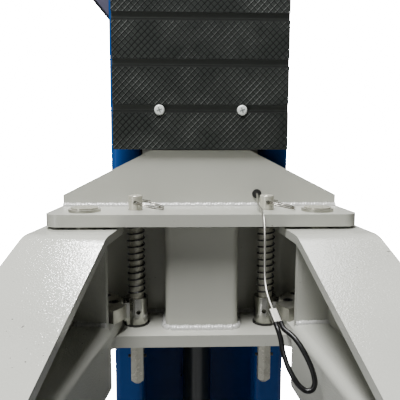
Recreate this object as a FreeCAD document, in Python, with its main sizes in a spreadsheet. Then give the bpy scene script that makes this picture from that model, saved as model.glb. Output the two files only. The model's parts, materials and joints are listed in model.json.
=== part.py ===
import FreeCAD, Part
import math
import os
import re

import Sketcher

# One complete post of a two post car lift, in millimetres.
# X runs across the post, +Y runs away from the car, +Z is up.
# The origin is on the floor under the middle of the column's front.
Vector = FreeCAD.Vector
Rotation = FreeCAD.Rotation
UP = Vector(0, 0, 1)

doc = FreeCAD.newDocument("TwoPostLift")
sheet = doc.addObject("Spreadsheet::Sheet", "Sizes")

DRIVING_SIZES = [
    ("base_width", 520, "base plate across the post"),
    ("base_front", 120, "base plate in front of the column"),
    ("base_back", 110, "base plate behind the column"),
    ("base_thick", 20, "base plate thickness"),
    ("base_corner", 20, "base plate corner radius"),
    ("anchor_inset", 45, "anchor hole from the plate's edge"),
    ("anchor_hole", 22, "anchor hole diameter"),
    ("rib_reach", 80, "base rib along the floor"),
    ("rib_height", 130, "base rib up the column"),
    ("rib_thick", 10, "base rib thickness"),
    ("rib_nose", 15, "upright end of a base rib"),
    ("rib_inset", 45, "side rib from the column's front and back"),
    ("back_rib_spread", 90, "back rib from the middle"),
    ("column_width", 300, "column outside width"),
    ("column_depth", 270, "column outside depth"),
    ("column_top", 2800, "column top above the floor"),
    ("column_wall", 6, "column sheet thickness"),
    ("column_bend", 11, "outside radius of the column's bends"),
    ("slot_width", 200, "slot between the column's lips"),
    ("lip_depth", 46, "lip turned back into the column"),
    ("cap_sheet", 4, "cap sheet thickness"),
    ("cap_skirt", 45, "cap skirt height"),
    ("cap_gap", 1, "room between cap skirt and column"),
    ("ladder_width", 124, "lock ladder width"),
    ("ladder_thick", 12, "lock ladder thickness"),
    ("ladder_bottom", 260, "lock ladder foot above the floor"),
    ("ladder_top", 2560, "lock ladder head above the floor"),
    ("ladder_pitch", 120, "distance between lock windows"),
    ("ladder_windows", 18, "number of lock windows"),
    ("window_width", 68, "lock window width"),
    ("window_height", 46, "lock window height"),
    ("cylinder_outside", 58, "hydraulic cylinder outside diameter"),
    ("cylinder_back", 150, "cylinder axis behind the column's front"),
    ("cylinder_length", 1040, "cylinder length with its foot and head"),
    ("cylinder_foot", 90, "cylinder foot flange diameter"),
    ("foot_thick", 16, "cylinder foot flange thickness"),
    ("head_outside", 70, "cylinder head diameter"),
    ("head_length", 60, "cylinder head length"),
    ("ram_diameter", 38, "ram diameter"),
    ("ram_stub", 34, "ram standing out of the head"),
    ("cover_width", 62, "latch cover out from the column"),
    ("cover_depth", 130, "latch cover along the column's side"),
    ("cover_bottom", 1310, "latch cover bottom above the floor"),
    ("cover_height", 240, "latch cover height"),
    ("cover_slope", 74, "height of the cover's sloping ends"),
    ("cover_front", 30, "latch cover behind the column's front"),
    ("hinge_height", 1000, "top of the top hinge plate above the floor"),
    ("hinge_thick", 18, "hinge plate thickness"),
    ("hinge_gap", 165, "clear height between the hinge plates"),
    ("hinge_half", 231, "top hinge plate half width at its front"),
    ("hinge_end", 224, "top hinge plate half width at the gusset"),
    ("hinge_front", 134.5, "top hinge plate front before the column"),
    ("hinge_shoulder", 172, "hinge plate half width at its back"),
    ("hinge_corner", 22, "hinge plate corner radius"),
    ("lower_front", 132, "bottom hinge plate front before the column"),
    ("ear_radius", 60, "bottom hinge plate round ear radius"),
    ("ear_blend", 16, "hollow corner between plate and ear"),
    ("carriage_front", 20, "carriage face before the column's front"),
    ("carriage_sheet", 10, "carriage plate thickness"),
    ("carriage_drop", 24, "carriage below the bottom hinge plate"),
    ("carriage_rise", 592, "carriage above the top hinge plate"),
    ("slot_gap", 5, "carriage to column lip"),
    ("wing_gap", 12, "carriage wing behind the column lip"),
    ("wing_depth", 210, "carriage wing end behind the column's front"),
    ("side_gap", 10, "carriage wing to column side"),
    ("block_gap", 0.3, "slide block running gap"),
    ("block_height", 150, "slide block height"),
    ("block_inset", 10, "slide block from the carriage's end"),
    ("web_thick", 10, "upright web between the hinge plates"),
    ("web_half", 172, "web half width"),
    ("gusset_thick", 18, "gusset plate thickness"),
    ("gusset_half", 222, "gusset plate half width at its foot"),
    ("gusset_end", 18, "gusset plate end height"),
    ("gusset_height", 90, "gusset plate height"),
    ("gusset_top_half", 80, "gusset plate half width at its top"),
    ("spacer_width", 112, "spacer box width"),
    ("spacer_front", 105, "spacer box front before the column"),
    ("spacer_wall", 8, "spacer box wall"),
    ("spacer_corner", 10, "spacer box corner radius"),
    ("bumper_half", 139.5, "door bumper half width"),
    ("bumper_thick", 25, "door bumper thickness"),
    ("bumper_row", 70.5, "door bumper panel height"),
    ("bumper_rows", 7, "number of bumper panels"),
    ("bumper_groove", 13, "plain groove between bumper panels"),
    ("bumper_cut", 4, "depth of a bumper groove"),
    ("bumper_lift", 1.5, "bumper above the gusset's top"),
    ("pivot_half", 177, "arm pivot from the middle"),
    ("pivot_front", 96, "arm pivot before the column's front"),
    ("pivot_pin", 40, "arm pin diameter"),
    ("pin_proud", 6, "arm pin above the top hinge plate"),
    ("pin_under", 12, "arm pin below the bottom hinge plate"),
    ("pin_fit", 0.05, "running clearance at the arm pin"),
    ("ring_outside", 48, "arm pin ring outside diameter"),
    ("ring_thick", 4, "arm pin ring thickness"),
    ("ring_groove", 1.5, "depth of the ring's groove in the arm pin"),
    ("arm_width", 116, "arm top plate and tube width"),
    ("arm_plate", 12, "arm top plate thickness"),
    ("arm_gap", 4, "arm top plate below the hinge plate"),
    ("arm_bend", 85, "bend of the top plate before the pivot"),
    ("arm_slope", 21, "slope of the top plate in degrees"),
    ("arm_bend_radius", 70, "outside radius of the top plate's bend"),
    ("root_gap", 2, "arm root plate above the hinge plate"),
    ("root_thick", 19, "arm root plate thickness"),
    ("root_half", 54, "arm root plate half width"),
    ("end_flat", 0.5, "half of the flat left at the tip of a round end"),
    ("sleeve_outside", 60, "arm sleeve diameter"),
    ("tube_start", 72, "arm tube end before the pivot"),
    ("tube_length", 640, "arm tube length"),
    ("tube_height", 100, "arm tube height"),
    ("tube_wall", 8, "arm tube wall"),
    ("tube_corner", 12, "arm tube corner radius"),
    ("tube_lift", 32, "arm tube top above the bottom hinge plate"),
    ("stiffener", 10, "thickness of the arm's end wall and middle web"),
    ("wall_inset", 6, "end wall in from the tube's side"),
    ("left_angle", 7.8, "left arm turned outward in degrees"),
    ("right_angle", 4.9, "right arm turned outward in degrees"),
    ("gear_thick", 20, "toothed sector thickness"),
    ("gear_tip", 55.5, "toothed sector tip radius"),
    ("gear_bore", 31, "toothed sector inside radius"),
    ("gear_depth", 4.5, "tooth depth"),
    ("gear_pitch", 9, "angle from tooth to tooth in degrees"),
    ("gear_teeth", 14, "number of tooth gaps in the sector"),
    ("gear_first", 4, "angle of the first tooth gap in degrees"),
    ("gear_low", -35, "angle where the sector starts in degrees"),
    ("gear_high", 130, "angle where the sector ends in degrees"),
    ("horn_radius", 63, "stop horn radius"),
    ("horn_end", -3, "angle where the stop horn ends in degrees"),
    ("tooth_gap", 1.2, "room between sector teeth and jaw"),
    ("tooth_root_share", 0.55, "half width of a tooth gap's bottom in quarter pitches"),
    ("tooth_flank", 0.5, "widening of a tooth gap for each millimetre outward"),
    ("gear_screws", 3, "screws that hold the toothed sector"),
    ("screw_first", 9, "angle of the first sector screw in degrees"),
    ("screw_pitch", 52, "angle from sector screw to sector screw in degrees"),
    ("screw_circle", 41, "radius of the circle that the sector screws stand on"),
    ("screw_head", 15.4, "sector screw head diameter"),
    ("screw_height", 10, "sector screw head height"),
    ("screw_socket", 8, "sector screw socket across its flats"),
    ("screw_sink", 5, "sector screw socket depth"),
    ("screw_room", 0.3, "room round and under a sector screw's head"),
    ("latch_half", 102, "restraint pin from the middle"),
    ("latch_front", 78.6, "restraint pin before the column's front"),
    ("latch_pin", 22, "restraint pin diameter"),
    ("latch_hole", 24, "restraint pin hole in the hinge plates"),
    ("latch_proud", 22, "restraint pin above the top hinge plate"),
    ("latch_under", 81, "restraint pin below the bottom hinge plate"),
    ("latch_chamfer", 5, "restraint pin point chamfer"),
    ("latch_edge", 1, "restraint pin head chamfer"),
    ("latch_flats", 20, "restraint pin across its six flats below the collar"),
    ("stop_pin", 5, "stop pin diameter"),
    ("stop_length", 29, "stop pin length"),
    ("stop_drop", 36.5, "stop pin below the bottom hinge plate"),
    ("stop_fit", 0.05, "stop pin clearance in its hole"),
    ("latch_cross", 10.5, "ring hole below the restraint pin's top"),
    ("collar_outside", 35, "restraint collar diameter"),
    ("collar_height", 42, "restraint collar height"),
    ("collar_fit", 0.05, "collar bore clearance on its pin"),
    ("collar_pin", 7, "set pin hole in the collar"),
    ("jaw_width", 24, "collar jaw width"),
    ("jaw_drop", 6, "collar jaw below the collar's top"),
    ("jaw_foot", 7.5, "height of the jaw's foot below its teeth"),
    ("jaw_relief", 4, "jaw's foot set back from its teeth"),
    ("washer_outside", 39, "washer under the collar"),
    ("washer_thick", 2.4, "washer thickness"),
    ("spring_wire", 2.6, "restraint spring wire"),
    ("spring_mean", 25.6, "restraint spring mean diameter"),
    ("spring_pitch", 10.3, "restraint spring coil pitch"),
    ("spring_steps", 16, "straight steps in a turn of the spring"),
    ("spring_sides", 6, "sides of the spring's wire"),
    ("spring_room", 0.2, "spring end to its seat"),
    ("pull_ring", 46, "pull ring mean diameter"),
    ("pull_wire", 3.2, "pull ring wire"),
    ("pull_rest", 0.3, "pull ring above the hinge plate and its hole"),
    ("cable_hole", 12, "cable hole in the gusset plate"),
    ("cable_hole_x", 92, "cable hole from the middle"),
    ("cable_hole_rise", 19.5, "cable hole above the hinge plate"),
    ("grommet_flange", 15, "cable grommet flange diameter"),
    ("grommet_lip", 2, "cable grommet flange thickness"),
    ("cable_diameter", 3, "release cable diameter"),
    ("crimp_width", 13.2, "crimp sleeve width"),
    ("crimp_thick", 7, "crimp sleeve thickness"),
    ("crimp_length", 21, "crimp sleeve length"),
    ("loop_diameter", 6.4, "sleeved loop diameter"),
    ("extension_gap", 2, "extension tube inside the arm tube"),
    ("extension_rest", 0.3, "extension tube above the arm tube's floor"),
    ("extension_wall", 8, "extension tube wall"),
    ("extension_start", 330, "extension tube rear end before the pivot"),
    ("extension_end", 1030, "extension tube front end before the pivot"),
    ("socket_bore", 50, "pad socket bore"),
    ("stem_fit", 0.05, "pad stem clearance in its socket"),
    ("stem_foot", 12, "pad stem above the socket's bottom"),
    ("pad_diameter", 124, "lifting pad diameter"),
    ("pad_plate", 12, "lifting pad plate thickness"),
    ("pad_rubber", 22, "lifting pad rubber thickness"),
    ("pad_lift", 24, "lifting pad plate above its socket"),
    ("pad_groove", 6, "groove in the pad rubber"),
]
for row, (alias, value, meaning) in enumerate(DRIVING_SIZES, start=1):
    sheet.set(f"A{row}", meaning)
    sheet.set(f"B{row}", str(value))
    sheet.setAlias(f"B{row}", alias)
doc.recompute()
ALIASES = {alias for alias, value, meaning in DRIVING_SIZES}
NEAR = 0.1  # how far from its worked out place an edge may lie and still be picked
ALONG = 0.99  # share of an edge's run that lies along an axis for it to be picked
PAST = 1  # how far a cutting shape reaches past the surface that it cuts
NODES = []


def bound(formula):
    """The formula with each size name pointing at the sheet."""
    return re.sub(r"[a-z_]+", lambda m: "Sizes." + m[0] if m[0] in ALIASES else m[0], formula)


def value(formula):
    """The number that a formula of size names gives."""
    found = sheet.evalExpression(bound(formula))
    return float(getattr(found, "Value", found))


def drive(thing, prop, formula):
    thing.setExpression(prop, bound(formula))


# Heights and places that more than one piece shares
PLATE_TOP = "hinge_height"
PLATE_UNDER = "(hinge_height - hinge_thick)"
LOWER_TOP = "(hinge_height - hinge_thick - hinge_gap)"
LOWER_UNDER = "(hinge_height - 2 * hinge_thick - hinge_gap)"
FACE = "(-carriage_front)"
ARM_TOP = f"({PLATE_UNDER} - arm_gap)"
TUBE_TOP = f"({LOWER_TOP} + tube_lift)"
ROOT_UNDER = f"({LOWER_TOP} + root_gap)"
ROOT_TOP = f"({LOWER_TOP} + root_gap + root_thick)"
COLLAR_FOOT = f"({LOWER_TOP} + washer_thick)"
COLLAR_TOP = f"({COLLAR_FOOT} + collar_height)"
SOCKET_HALF = "(arm_width / 2 - tube_wall - extension_gap)"
SOCKET_UNDER = f"({TUBE_TOP} - tube_height + tube_wall + extension_rest)"
SOCKET_HEIGHT = "(tube_height - 2 * tube_wall - 2 * extension_gap)"
SOCKET_MIDDLE = f"(extension_end + {SOCKET_HALF})"


def node(label):
    """An empty body that becomes one named piece."""
    body = doc.addObject("PartDesign::Body", label)
    body.Label = label
    NODES.append(body)
    return body


def origin_part(body, role):
    return next(o for o in body.Origin.OriginFeatures if o.Role == role)


def sketch_on(body, role, height):
    """A sketch on an origin plane of the body, moved along the plane's normal."""
    sketch = body.newObject("Sketcher::SketchObject", "Sketch")
    sketch.AttachmentSupport = [(origin_part(body, role), "")]
    sketch.MapMode = "FlatFace"
    drive(sketch, "AttachmentOffset.Base.z", height)
    return sketch


def pin_point(sketch, line, end, spot):
    """Ties one end of a line to a pair of formulas."""
    for kind, formula in zip(("DistanceX", "DistanceY"), spot):
        number = sketch.addConstraint(Sketcher.Constraint(kind, -1, 1, line, end, value(formula)))
        drive(sketch, f"Constraints[{number}]", formula)


def outline(sketch, corners):
    """A closed outline through corners that are pairs of formulas."""
    spots = [Vector(value(x), value(y), 0) for x, y in corners]
    first = sketch.GeometryCount
    for here, there in zip(spots, spots[1:] + spots[:1]):
        sketch.addGeometry(Part.LineSegment(here, there), False)
    for step in range(len(corners)):
        following = first + (step + 1) % len(corners)
        sketch.addConstraint(Sketcher.Constraint("Coincident", first + step, 2, following, 1))
    for step, corner in enumerate(corners):
        pin_point(sketch, first + step, 1, corner)


def circle(sketch, middle, diameter):
    spot = Vector(value(middle[0]), value(middle[1]), 0)
    ring = sketch.addGeometry(Part.Circle(spot, UP, value(diameter) / 2), False)
    pin_point(sketch, ring, 3, middle)
    number = sketch.addConstraint(Sketcher.Constraint("Diameter", ring, value(diameter)))
    drive(sketch, f"Constraints[{number}]", diameter)


def pad(body, sketch, length, backward=False):
    feature = body.newObject("PartDesign::Pad", "Pad")
    feature.Profile = sketch
    feature.Reversed = backward
    drive(feature, "Length", length)
    doc.recompute()
    return feature


def cut_through(body, sketch):
    """A pocket through the whole piece, both ways from its sketch."""
    before = body.Shape.Volume
    feature = body.newObject("PartDesign::Pocket", "Pocket")
    feature.Profile = sketch
    feature.Type = "ThroughAll"
    feature.SideType = "Symmetric"
    doc.recompute()
    if body.Shape.Volume >= before:
        raise RuntimeError(f"{body.Label}: the pocket cuts nothing")
    return feature


def soften(body, radius, wanted):
    """Rounds the edges that the wanted test picks by their middle point and direction."""
    names, before = [], body.Tip
    for number, edge in enumerate(before.Shape.Edges, start=1):
        if edge.Curve.TypeId != "Part::GeomLine":
            continue
        run = edge.Vertexes[-1].Point - edge.Vertexes[0].Point
        if wanted(edge.CenterOfMass, run.normalize()):
            names.append(f"Edge{number}")
    feature = body.newObject("PartDesign::Fillet", "Fillet")
    feature.Base = (before, names)
    drive(feature, "Radius", radius)
    doc.recompute()
    return feature


def upright(run):
    return abs(run.z) > ALONG


def plate(label, corners, bottom, thick):
    """A flat plate seen from above."""
    body = node(label)
    sketch = sketch_on(body, "XY_Plane", bottom)
    outline(sketch, corners)
    pad(body, sketch, thick)
    return body


def standing_plate(label, corners, back, thick):
    """A plate that faces the car: corners are across and up, back is its far face."""
    body = node(label)
    sketch = sketch_on(body, "XZ_Plane", f"-({back})")
    outline(sketch, corners)
    pad(body, sketch, thick)
    return body


def both_halves(half):
    """A closed outline from its +X half, listed from the front to the back."""
    return half + [(f"-({x})", y) for x, y in reversed(half)]


def rectangle(low_x, high_x, low_y, high_y):
    return [(low_x, low_y), (high_x, low_y), (high_x, high_y), (low_x, high_y)]


def drill(body, spots, diameter):
    sketch = sketch_on(body, "XY_Plane", "0")
    for spot in spots:
        circle(sketch, spot, diameter)
    return cut_through(body, sketch)


def turned_piece(label, profile, across, front):
    """A round piece about an upright axis: profile is radius and height."""
    body = node(label)
    sketch = sketch_on(body, "XZ_Plane", "0")
    outline(sketch, profile)
    feature = body.newObject("PartDesign::Revolution", "Revolution")
    feature.Profile = sketch
    feature.ReferenceAxis = (origin_part(body, "Z_Axis"), [""])
    feature.Angle = 360
    place(body, across, front, "0")
    doc.recompute()
    return body


def place(body, across, front, angle):
    """Stands a piece that was drawn at the origin at its axis, turned about it."""
    body.Placement = FreeCAD.Placement(Vector(), Rotation(UP, value(angle)))
    drive(body, "Placement.Base.x", across)
    drive(body, "Placement.Base.y", front)
    if angle != "0":
        drive(body, "Placement.Rotation.Angle", angle)


def loose_solids(label, solids):
    """Like pieces that share one name: solids that don't touch."""
    piece = doc.addObject("Part::Feature", label)
    piece.Label = label
    piece.Shape = Part.makeCompound(solids)
    NODES.append(piece)
    return piece


def block(low, high):
    """A plain block between two corners of formulas."""
    start = Vector(*(value(f) for f in low))
    end = Vector(*(value(f) for f in high))
    return Part.makeBox(end.x - start.x, end.y - start.y, end.z - start.z, start)


# Base plate with its anchor holes
BASE_BACK = "(column_depth + base_back)"
base = plate(
    "base_plate",
    rectangle("-base_width / 2", "base_width / 2", "-base_front", BASE_BACK),
    "0",
    "base_thick",
)
soften(base, "base_corner", lambda middle, run: upright(run))
ANCHOR_X = "(base_width / 2 - anchor_inset)"
ANCHOR_FRONT = "(-base_front + anchor_inset)"
ANCHOR_BACK = f"({BASE_BACK} - anchor_inset)"
anchor_rows = [ANCHOR_FRONT, f"({ANCHOR_FRONT} + {ANCHOR_BACK}) / 2", ANCHOR_BACK]
drill(base, [(side + ANCHOR_X, row) for side in ("", "-") for row in anchor_rows], "anchor_hole")


def base_rib():
    """One triangular rib against the plane X = 0, middle of its thickness on Y = 0."""
    reach, height, thick = value("rib_reach"), value("rib_height"), value("rib_thick")
    nose, floor = value("rib_nose"), value("base_thick")
    spots = [(0, 0), (reach, 0), (reach, nose), (nose, height), (0, height)]
    wire = Part.makePolygon([Vector(x, -thick / 2, floor + z) for x, z in spots + spots[:1]])
    return Part.Face(wire).extrude(Vector(0, thick, 0))


def put(shape, x, y, turn):
    """A copy of a shape turned about the upright axis and moved."""
    moved = shape.copy()
    moved.Placement = FreeCAD.Placement(Vector(x, y, 0), Rotation(UP, turn))
    return moved


half_column = value("column_width / 2")
column_back = value("column_depth")
rib_rows = (value("rib_inset"), column_back - value("rib_inset"))
rib = base_rib()
ribs = [put(rib, half_column, row, 0) for row in rib_rows]
ribs += [put(rib, -half_column, row, 180) for row in rib_rows]
ribs += [put(rib, side * value("back_rib_spread"), column_back, 90) for side in (-1, 1)]
loose_solids("base_ribs", ribs)

# Column: one folded sheet, open to the car between two lips that turn back inside
HALF = "column_width / 2"
LIP = "slot_width / 2"
column_half = [
    (LIP, "0"),
    (HALF, "0"),
    (HALF, "column_depth"),
]
inside_half = [
    (f"{HALF} - column_wall", "column_depth - column_wall"),
    (f"{HALF} - column_wall", "column_wall"),
    (f"{LIP} + column_wall", "column_wall"),
    (f"{LIP} + column_wall", "lip_depth"),
    (LIP, "lip_depth"),
]
column_corners = column_half + [(f"-({x})", y) for x, y in reversed(column_half)]
column_corners += [(f"-({x})", y) for x, y in reversed(inside_half)] + inside_half
column = plate("column", column_corners, "base_thick", "column_top - base_thick")


def outer_bend(middle, run):
    at_side = abs(abs(middle.x) - half_column) < NEAR
    at_lip = abs(abs(middle.x) - value(LIP)) < NEAR
    return upright(run) and (at_side or at_lip and middle.y < NEAR)


def inner_bend(middle, run):
    wall, x, y = value("column_wall"), abs(middle.x), middle.y
    at_side = abs(x - half_column + wall) < NEAR
    at_lip = abs(x - value(LIP) - wall) < NEAR and abs(y - wall) < NEAR
    return upright(run) and (at_side or at_lip)


soften(column, "column_bend", outer_bend)
soften(column, "column_bend - column_wall", inner_bend)

# Cap: a shallow folded tray over the column's top
cap = plate(
    "column_cap",
    rectangle(
        f"-({HALF} + cap_gap + cap_sheet)",
        f"{HALF} + cap_gap + cap_sheet",
        "-cap_gap - cap_sheet",
        "column_depth + cap_gap + cap_sheet",
    ),
    "column_top - cap_skirt",
    "cap_skirt + cap_sheet",
)
soften(cap, "column_bend + cap_gap + cap_sheet", lambda middle, run: upright(run))
hollow = sketch_on(cap, "XY_Plane", "column_top")
outline(
    hollow,
    rectangle(f"-({HALF} + cap_gap)", f"{HALF} + cap_gap", "-cap_gap", "column_depth + cap_gap"),
)
tray = cap.newObject("PartDesign::Pocket", "Tray")
tray.Profile = hollow
drive(tray, "Length", "cap_skirt")
doc.recompute()

# Lock ladder: a plate with windows on the column's back wall
ladder = standing_plate(
    "lock_ladder",
    rectangle("-ladder_width / 2", "ladder_width / 2", "ladder_bottom", "ladder_top"),
    "column_depth - column_wall",
    "ladder_thick",
)
window = sketch_on(ladder, "XZ_Plane", "0")
outline(
    window,
    rectangle(
        "-window_width / 2",
        "window_width / 2",
        "ladder_bottom + ladder_pitch / 2",
        "ladder_bottom + ladder_pitch / 2 + window_height",
    ),
)
first_window = cut_through(ladder, window)
windows = ladder.newObject("PartDesign::LinearPattern", "Windows")
windows.Originals = [first_window]
windows.Direction = (origin_part(ladder, "Z_Axis"), [""])
drive(windows, "Length", "ladder_pitch * (ladder_windows - 1)")
drive(windows, "Occurrences", "ladder_windows")
ladder.Tip = windows
doc.recompute()

# Hydraulic cylinder standing in the column: foot flange, barrel, head and ram
turned_piece(
    "hydraulic_cylinder",
    [
        ("0", "base_thick"),
        ("cylinder_foot / 2", "base_thick"),
        ("cylinder_foot / 2", "base_thick + foot_thick"),
        ("cylinder_outside / 2", "base_thick + foot_thick"),
        ("cylinder_outside / 2", "base_thick + cylinder_length - head_length"),
        ("head_outside / 2", "base_thick + cylinder_length - head_length"),
        ("head_outside / 2", "base_thick + cylinder_length"),
        ("ram_diameter / 2", "base_thick + cylinder_length"),
        ("ram_diameter / 2", "base_thick + cylinder_length + ram_stub"),
        ("0", "base_thick + cylinder_length + ram_stub"),
    ],
    "0",
    "cylinder_back",
)

# Latch cover on the column's side, with sloping ends
cover = standing_plate(
    "latch_cover",
    [
        (f"-({HALF})", "cover_bottom"),
        (f"-({HALF})", "cover_bottom + cover_height"),
        (f"-({HALF} + cover_width)", "cover_bottom + cover_height - cover_slope"),
        (f"-({HALF} + cover_width)", "cover_bottom + cover_slope"),
    ],
    "cover_front + cover_depth",
    "cover_depth",
)
soften(
    cover,
    "column_bend",
    lambda middle, run: abs(run.y) > ALONG and middle.x < -half_column - NEAR,
)

# Carriage: a hat shaped channel that reaches out through the column's slot
CARRIAGE_UNDER = f"({LOWER_UNDER} - carriage_drop)"
CARRIAGE_HEIGHT = "(carriage_drop + 2 * hinge_thick + hinge_gap + carriage_rise)"
NECK = "(slot_width / 2 - slot_gap)"
WING = "(column_width / 2 - column_wall - side_gap)"
WING_FRONT = "(lip_depth + wing_gap)"
carriage_outer = [
    (NECK, FACE),
    (NECK, WING_FRONT),
    (WING, WING_FRONT),
    (WING, "wing_depth"),
]
carriage_inner = [
    (f"{WING} - carriage_sheet", "wing_depth"),
    (f"{WING} - carriage_sheet", f"{WING_FRONT} + carriage_sheet"),
    (f"{NECK} - carriage_sheet", f"{WING_FRONT} + carriage_sheet"),
    (f"{NECK} - carriage_sheet", f"{FACE} + carriage_sheet"),
]
carriage_corners = carriage_outer + carriage_inner
carriage_corners += [(f"-({x})", y) for x, y in reversed(carriage_inner)]
carriage_corners += [(f"-({x})", y) for x, y in reversed(carriage_outer)]
carriage = plate("carriage_channel", carriage_corners, CARRIAGE_UNDER, CARRIAGE_HEIGHT)


def slide_blocks():
    """Four slide blocks at the sides and four behind the lips, at both carriage ends."""
    low = f"{CARRIAGE_UNDER} + block_inset"
    high = f"{CARRIAGE_UNDER} + {CARRIAGE_HEIGHT} - block_inset - block_height"
    blocks = []
    for foot in (low, high):
        side = block(
            (WING, f"{WING_FRONT} + 2 * carriage_sheet", foot),
            (f"{HALF} - column_wall - block_gap", "wing_depth - carriage_sheet", f"{foot} + block_height"),
        )
        front = block(
            (f"{NECK} + slot_gap", "lip_depth + block_gap", foot),
            (WING, WING_FRONT, f"{foot} + block_height"),
        )
        blocks += [side, front, side.mirror(Vector(), Vector(1, 0, 0))]
        blocks += [front.mirror(Vector(), Vector(1, 0, 0))]
    return blocks


loose_solids("slide_blocks", slide_blocks())

# Upright web between the two hinge plates
standing_plate(
    "carriage_web",
    rectangle("-web_half", "web_half", LOWER_TOP, PLATE_UNDER),
    FACE,
    "web_thick",
)

# Hinge plates, pierced for the arm pins and the restraint pins
PIVOTS = [("-pivot_half", "-pivot_front"), ("pivot_half", "-pivot_front")]
LATCHES = [("-latch_half", "-latch_front"), ("latch_half", "-latch_front")]
PIN_HOLE = "(pivot_pin + 2 * pin_fit)"
top_half = [
    ("hinge_half", "-hinge_front"),
    ("hinge_end", f"{FACE} - gusset_thick"),
    ("hinge_shoulder", FACE),
]
upper = plate("hinge_plate_top", both_halves(top_half), PLATE_UNDER, "hinge_thick")
soften(
    upper,
    "hinge_corner",
    lambda middle, run: upright(run) and middle.y < -value("hinge_front") + NEAR,
)
drill(upper, PIVOTS, PIN_HOLE)
drill(upper, LATCHES, "latch_hole")

lower = plate(
    "hinge_plate_bottom",
    both_halves([("pivot_half", "-lower_front"), ("pivot_half", "-pivot_front"), ("hinge_shoulder", FACE)]),
    LOWER_UNDER,
    "hinge_thick",
)
for spot in PIVOTS:
    ear = sketch_on(lower, "XY_Plane", LOWER_UNDER)
    circle(ear, spot, "2 * ear_radius")
    pad(lower, ear, "hinge_thick")
soften(
    lower,
    "ear_blend",
    lambda middle, run: upright(run) and abs(middle.y + value("lower_front")) < NEAR,
)
drill(lower, PIVOTS, PIN_HOLE)
drill(lower, LATCHES, "latch_hole")

# Gusset plate on the top hinge plate, with the cable hole
GUSSET_TOP = f"({PLATE_TOP} + gusset_height)"
gusset = standing_plate(
    "gusset_plate",
    [
        ("-gusset_half", PLATE_TOP),
        ("gusset_half", PLATE_TOP),
        ("gusset_half", f"{PLATE_TOP} + gusset_end"),
        ("gusset_top_half", GUSSET_TOP),
        ("-gusset_top_half", GUSSET_TOP),
        ("-gusset_half", f"{PLATE_TOP} + gusset_end"),
    ],
    FACE,
    "gusset_thick",
)
CABLE_SPOT = ("cable_hole_x", f"{PLATE_TOP} + cable_hole_rise")
cable_hole = sketch_on(gusset, "XZ_Plane", "0")
circle(cable_hole, CABLE_SPOT, "cable_hole")
cut_through(gusset, cable_hole)

# Spacer box between the hinge plates
spacer = plate(
    "spacer_box",
    rectangle("-spacer_width / 2", "spacer_width / 2", "-spacer_front", f"{FACE} - web_thick"),
    LOWER_TOP,
    "hinge_gap",
)
soften(
    spacer,
    "spacer_corner",
    lambda middle, run: upright(run) and middle.y < -value("spacer_front") + NEAR,
)
spacer_hollow = sketch_on(spacer, "XY_Plane", LOWER_TOP)
outline(
    spacer_hollow,
    rectangle(
        "-spacer_width / 2 + spacer_wall",
        "spacer_width / 2 - spacer_wall",
        "-spacer_front + spacer_wall",
        f"{FACE} - web_thick",
    ),
)
cut_through(spacer, spacer_hollow)

# Door bumper: a rubber slab in raised panels with plain grooves between them
BUMPER_FOOT = f"({GUSSET_TOP} + bumper_lift)"
bumper = standing_plate(
    "door_bumper",
    rectangle("-bumper_half", "bumper_half", BUMPER_FOOT, f"{BUMPER_FOOT} + bumper_rows * bumper_row"),
    FACE,
    "bumper_thick",
)
groove = sketch_on(bumper, "YZ_Plane", "0")
GROOVE_FOOT = f"{BUMPER_FOOT} + bumper_row - bumper_groove"
outline(
    groove,
    [
        (f"{FACE} - bumper_thick", GROOVE_FOOT),
        (f"{FACE} - bumper_thick + bumper_cut", f"{GROOVE_FOOT} + bumper_cut"),
        (f"{FACE} - bumper_thick + bumper_cut", f"{GROOVE_FOOT} + bumper_groove"),
        (f"{FACE} - bumper_thick", f"{GROOVE_FOOT} + bumper_groove"),
    ],
)
first_groove = cut_through(bumper, groove)
grooves = bumper.newObject("PartDesign::LinearPattern", "Grooves")
grooves.Originals = [first_groove]
grooves.Direction = (origin_part(bumper, "Z_Axis"), [""])
drive(grooves, "Length", "bumper_row * (bumper_rows - 2)")
drive(grooves, "Occurrences", "bumper_rows - 1")
bumper.Tip = grooves
doc.recompute()

# Arm pins with a groove under each retaining ring
PIN_TOP = f"({PLATE_TOP} + pin_proud)"
RING_FOOT = PLATE_TOP
PIN_RADIUS = "pivot_pin / 2"
pin_profile = [
    ("0", f"{LOWER_UNDER} - pin_under"),
    (PIN_RADIUS, f"{LOWER_UNDER} - pin_under"),
    (PIN_RADIUS, RING_FOOT),
    (f"{PIN_RADIUS} - ring_groove", RING_FOOT),
    (f"{PIN_RADIUS} - ring_groove", f"{RING_FOOT} + ring_thick"),
    (PIN_RADIUS, f"{RING_FOOT} + ring_thick"),
    (PIN_RADIUS, PIN_TOP),
    ("0", PIN_TOP),
]
SIDES = {"left": "-", "right": ""}
for side, sign in SIDES.items():
    turned_piece(f"arm_pin_{side}", pin_profile, f"{sign}pivot_half", "-pivot_front")


def ring_solid(across, front, outside, inside, foot, thick):
    """A flat ring about an upright axis."""
    middle = Vector(across, front, foot)
    return Part.makeCylinder(outside / 2, thick, middle).cut(
        Part.makeCylinder(inside / 2, thick, middle)
    )


loose_solids(
    "arm_pin_rings",
    [
        ring_solid(
            value(x),
            value(y),
            value("ring_outside"),
            value("pivot_pin - 2 * ring_groove"),
            value(RING_FOOT),
            value("ring_thick"),
        )
        for x, y in PIVOTS
    ],
)
loose_solids(
    "restraint_washers",
    [
        ring_solid(
            value(x),
            value(y),
            value("washer_outside"),
            value("latch_hole"),
            value(LOWER_TOP),
            value("washer_thick"),
        )
        for x, y in LATCHES
    ],
)

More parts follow.
